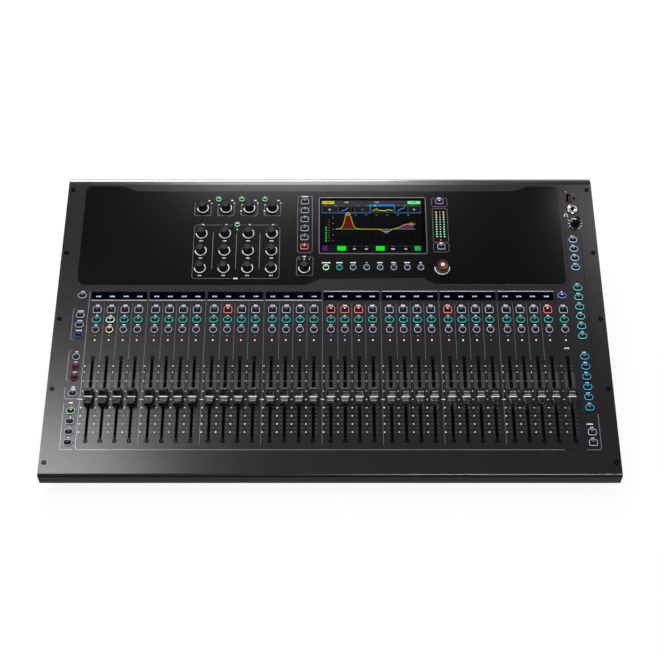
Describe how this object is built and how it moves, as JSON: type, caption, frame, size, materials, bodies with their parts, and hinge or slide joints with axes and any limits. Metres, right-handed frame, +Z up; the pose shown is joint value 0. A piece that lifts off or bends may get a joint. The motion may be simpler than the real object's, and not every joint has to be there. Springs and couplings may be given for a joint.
{
  "type": "mixing console",
  "caption": "Digital mixing console: a low wedge of dark sheet steel with motor faders, lit keys, knobs and a touchscreen on top and sockets at the back.",
  "frame": {"origin": "on the table, under the middle of the case", "axes": "+X to the operator's right, +Y away from the operator, +Z up"},
  "size_m": [0.804, 0.4822, 0.1458],
  "materials": {
    "case_coat": "satin fine-textured powder coat",
    "base_coat": "matt powder coat",
    "rear_coat": "satin fine-textured powder coat",
    "foot_rubber": "matt",
    "gloss_panel": "piano gloss",
    "screen_glass": "gloss",
    "display_window": "gloss",
    "track_housing": "matt",
    "circuit_board": "satin",
    "supply_case": "plain",
    "socket_plastic": "moulded",
    "nut_chrome": "polished",
    "knob_grip": "soft matt",
    "rocker_plastic": "gloss",
    "dial_clear": "smoked, lit",
    "fader_cap": "gloss",
    "key_plastic": "translucent, dark top"
  },
  "bodies": {
    "console": {"top_panel": "case_coat", "side_panels": "case_coat", "base_tray": "base_coat", "rear_panel": "rear_coat", "rubber_feet": "foot_rubber", "screen_panel": "gloss_panel", "touchscreen": "screen_glass", "channel_displays": "display_window", "fader_tracks": "track_housing", "circuit_boards": "circuit_board", "power_supply": "supply_case", "rear_sockets": "socket_plastic", "top_sockets": "nut_chrome", "eq_knobs": "knob_grip"},
    "fader_01": {"fader_01": "fader_cap"},
    "fader_02": {"fader_02": "fader_cap"},
    "fader_03": {"fader_03": "fader_cap"},
    "fader_04": {"fader_04": "fader_cap"},
    "fader_05": {"fader_05": "fader_cap"},
    "fader_06": {"fader_06": "fader_cap"},
    "fader_07": {"fader_07": "fader_cap"},
    "fader_08": {"fader_08": "fader_cap"},
    "fader_09": {"fader_09": "fader_cap"},
    "fader_10": {"fader_10": "fader_cap"},
    "fader_11": {"fader_11": "fader_cap"},
    "fader_12": {"fader_12": "fader_cap"},
    "fader_13": {"fader_13": "fader_cap"},
    "fader_14": {"fader_14": "fader_cap"},
    "fader_15": {"fader_15": "fader_cap"},
    "fader_16": {"fader_16": "fader_cap"},
    "fader_17": {"fader_17": "fader_cap"},
    "fader_18": {"fader_18": "fader_cap"},
    "fader_19": {"fader_19": "fader_cap"},
    "fader_20": {"fader_20": "fader_cap"},
    "fader_21": {"fader_21": "fader_cap"},
    "fader_22": {"fader_22": "fader_cap"},
    "fader_23": {"fader_23": "fader_cap"},
    "fader_24": {"fader_24": "fader_cap"},
    "fader_25": {"fader_25": "fader_cap"},
    "fader_26": {"fader_26": "fader_cap"},
    "fader_27": {"fader_27": "fader_cap"},
    "fader_28": {"fader_28": "fader_cap"},
    "fader_29": {"fader_29": "fader_cap"},
    "fader_30": {"fader_30": "fader_cap"},
    "fader_31": {"fader_31": "fader_cap"},
    "fader_32": {"fader_32": "fader_cap"},
    "fader_main": {"fader_main": "fader_cap"},
    "mute_keys": {"mute_keys": "key_plastic"},
    "select_keys": {"select_keys": "key_plastic"},
    "listen_keys": {"listen_keys": "key_plastic"},
    "section_keys": {"section_keys": "key_plastic"},
    "screen_panel_keys": {"screen_panel_keys": "key_plastic"},
    "gain_knob": {"gain_knob": "knob_grip"},
    "filter_knob": {"filter_knob": "knob_grip"},
    "gate_knob": {"gate_knob": "knob_grip"},
    "compressor_knob": {"compressor_knob": "knob_grip"},
    "pan_knob": {"pan_knob": "knob_grip"},
    "select_dial": {"select_dial": "dial_clear"},
    "headphone_knob": {"headphone_knob": "knob_grip"},
    "power_rocker": {"power_rocker": "rocker_plastic"}
  },
  "joints": [
    {"name": "fader_01_slide", "type": "slide", "parent": "console", "child": "fader_01", "axis": [0, 0.9781, 0.2079], "range_m": [-0.05, 0.05]},
    {"name": "fader_02_slide", "type": "slide", "parent": "console", "child": "fader_02", "axis": [0, 0.9781, 0.2079], "range_m": [-0.05, 0.05]},
    {"name": "fader_03_slide", "type": "slide", "parent": "console", "child": "fader_03", "axis": [0, 0.9781, 0.2079], "range_m": [-0.05, 0.05]},
    {"name": "fader_04_slide", "type": "slide", "parent": "console", "child": "fader_04", "axis": [0, 0.9781, 0.2079], "range_m": [-0.05, 0.05]},
    {"name": "fader_05_slide", "type": "slide", "parent": "console", "child": "fader_05", "axis": [0, 0.9781, 0.2079], "range_m": [-0.05, 0.05]},
    {"name": "fader_06_slide", "type": "slide", "parent": "console", "child": "fader_06", "axis": [0, 0.9781, 0.2079], "range_m": [-0.05, 0.05]},
    {"name": "fader_07_slide", "type": "slide", "parent": "console", "child": "fader_07", "axis": [0, 0.9781, 0.2079], "range_m": [-0.05, 0.05]},
    {"name": "fader_08_slide", "type": "slide", "parent": "console", "child": "fader_08", "axis": [0, 0.9781, 0.2079], "range_m": [-0.05, 0.05]},
    {"name": "fader_09_slide", "type": "slide", "parent": "console", "child": "fader_09", "axis": [0, 0.9781, 0.2079], "range_m": [-0.05, 0.05]},
    {"name": "fader_10_slide", "type": "slide", "parent": "console", "child": "fader_10", "axis": [0, 0.9781, 0.2079], "range_m": [-0.05, 0.05]},
    {"name": "fader_11_slide", "type": "slide", "parent": "console", "child": "fader_11", "axis": [0, 0.9781, 0.2079], "range_m": [-0.05, 0.05]},
    {"name": "fader_12_slide", "type": "slide", "parent": "console", "child": "fader_12", "axis": [0, 0.9781, 0.2079], "range_m": [-0.05, 0.05]},
    {"name": "fader_13_slide", "type": "slide", "parent": "console", "child": "fader_13", "axis": [0, 0.9781, 0.2079], "range_m": [-0.05, 0.05]},
    {"name": "fader_14_slide", "type": "slide", "parent": "console", "child": "fader_14", "axis": [0, 0.9781, 0.2079], "range_m": [-0.05, 0.05]},
    {"name": "fader_15_slide", "type": "slide", "parent": "console", "child": "fader_15", "axis": [0, 0.9781, 0.2079], "range_m": [-0.05, 0.05]},
    {"name": "fader_16_slide", "type": "slide", "parent": "console", "child": "fader_16", "axis": [0, 0.9781, 0.2079], "range_m": [-0.05, 0.05]},
    {"name": "fader_17_slide", "type": "slide", "parent": "console", "child": "fader_17", "axis": [0, 0.9781, 0.2079], "range_m": [-0.05, 0.05]},
    {"name": "fader_18_slide", "type": "slide", "parent": "console", "child": "fader_18", "axis": [0, 0.9781, 0.2079], "range_m": [-0.05, 0.05]},
    {"name": "fader_19_slide", "type": "slide", "parent": "console", "child": "fader_19", "axis": [0, 0.9781, 0.2079], "range_m": [-0.05, 0.05]},
    {"name": "fader_20_slide", "type": "slide", "parent": "console", "child": "fader_20", "axis": [0, 0.9781, 0.2079], "range_m": [-0.05, 0.05]},
    {"name": "fader_21_slide", "type": "slide", "parent": "console", "child": "fader_21", "axis": [0, 0.9781, 0.2079], "range_m": [-0.05, 0.05]},
    {"name": "fader_22_slide", "type": "slide", "parent": "console", "child": "fader_22", "axis": [0, 0.9781, 0.2079], "range_m": [-0.05, 0.05]},
    {"name": "fader_23_slide", "type": "slide", "parent": "console", "child": "fader_23", "axis": [0, 0.9781, 0.2079], "range_m": [-0.05, 0.05]},
    {"name": "fader_24_slide", "type": "slide", "parent": "console", "child": "fader_24", "axis": [0, 0.9781, 0.2079], "range_m": [-0.05, 0.05]},
    {"name": "fader_25_slide", "type": "slide", "parent": "console", "child": "fader_25", "axis": [0, 0.9781, 0.2079], "range_m": [-0.05, 0.05]},
    {"name": "fader_26_slide", "type": "slide", "parent": "console", "child": "fader_26", "axis": [0, 0.9781, 0.2079], "range_m": [-0.05, 0.05]},
    {"name": "fader_27_slide", "type": "slide", "parent": "console", "child": "fader_27", "axis": [0, 0.9781, 0.2079], "range_m": [-0.05, 0.05]},
    {"name": "fader_28_slide", "type": "slide", "parent": "console", "child": "fader_28", "axis": [0, 0.9781, 0.2079], "range_m": [-0.05, 0.05]},
    {"name": "fader_29_slide", "type": "slide", "parent": "console", "child": "fader_29", "axis": [0, 0.9781, 0.2079], "range_m": [-0.05, 0.05]},
    {"name": "fader_30_slide", "type": "slide", "parent": "console", "child": "fader_30", "axis": [0, 0.9781, 0.2079], "range_m": [-0.05, 0.05]},
    {"name": "fader_31_slide", "type": "slide", "parent": "console", "child": "fader_31", "axis": [0, 0.9781, 0.2079], "range_m": [-0.05, 0.05]},
    {"name": "fader_32_slide", "type": "slide", "parent": "console", "child": "fader_32", "axis": [0, 0.9781, 0.2079], "range_m": [-0.05, 0.05]},
    {"name": "fader_main_slide", "type": "slide", "parent": "console", "child": "fader_main", "axis": [0, 0.9781, 0.2079], "range_m": [-0.05, 0.05]},
    {"name": "mute_keys_press", "type": "slide", "parent": "console", "child": "mute_keys", "axis": [0, 0.2079, -0.9781], "range_m": [0, 0.001], "stiffness_N_per_m": 600, "springref_m": -0.001},
    {"name": "select_keys_press", "type": "slide", "parent": "console", "child": "select_keys", "axis": [0, 0.2079, -0.9781], "range_m": [0, 0.001], "stiffness_N_per_m": 600, "springref_m": -0.001},
    {"name": "listen_keys_press", "type": "slide", "parent": "console", "child": "listen_keys", "axis": [0, 0.2079, -0.9781], "range_m": [0, 0.001], "stiffness_N_per_m": 600, "springref_m": -0.001},
    {"name": "section_keys_press", "type": "slide", "parent": "console", "child": "section_keys", "axis": [0, 0.2079, -0.9781], "range_m": [0, 0.001], "stiffness_N_per_m": 600, "springref_m": -0.001},
    {"name": "screen_panel_keys_press", "type": "slide", "parent": "console", "child": "screen_panel_keys", "axis": [0, 0.2079, -0.9781], "range_m": [0, 0.001], "stiffness_N_per_m": 600, "springref_m": -0.001},
    {"name": "gain_knob_turn", "type": "hinge", "parent": "console", "child": "gain_knob", "pos_m": [-0.1937, 0.17803, 0.13108], "axis": [0, -0.2079, 0.9781], "continuous": true},
    {"name": "filter_knob_turn", "type": "hinge", "parent": "console", "child": "filter_knob", "pos_m": [-0.1584, 0.17803, 0.13108], "axis": [0, -0.2079, 0.9781], "continuous": true},
    {"name": "gate_knob_turn", "type": "hinge", "parent": "console", "child": "gate_knob", "pos_m": [-0.1231, 0.17803, 0.13108], "axis": [0, -0.2079, 0.9781], "continuous": true},
    {"name": "compressor_knob_turn", "type": "hinge", "parent": "console", "child": "compressor_knob", "pos_m": [-0.0878, 0.17803, 0.13108], "axis": [0, -0.2079, 0.9781], "continuous": true},
    {"name": "pan_knob_turn", "type": "hinge", "parent": "console", "child": "pan_knob", "pos_m": [-0.0384, 0.07625, 0.10945], "axis": [0, -0.2079, 0.9781], "continuous": true},
    {"name": "select_dial_turn", "type": "hinge", "parent": "console", "child": "select_dial", "pos_m": [0.16705, 0.07625, 0.10945], "axis": [0, -0.2079, 0.9781], "continuous": true},
    {"name": "headphone_knob_turn", "type": "hinge", "parent": "console", "child": "headphone_knob", "pos_m": [0.372, 0.15182, 0.12551], "axis": [0, -0.2079, 0.9781], "range_deg": [-150, 150]},
    {"name": "power_rocker_tip", "type": "hinge", "parent": "console", "child": "power_rocker", "pos_m": [-0.3515, 0.23505, 0.036], "axis": [1, 0, 0], "range_deg": [0, 12]}
  ]
}
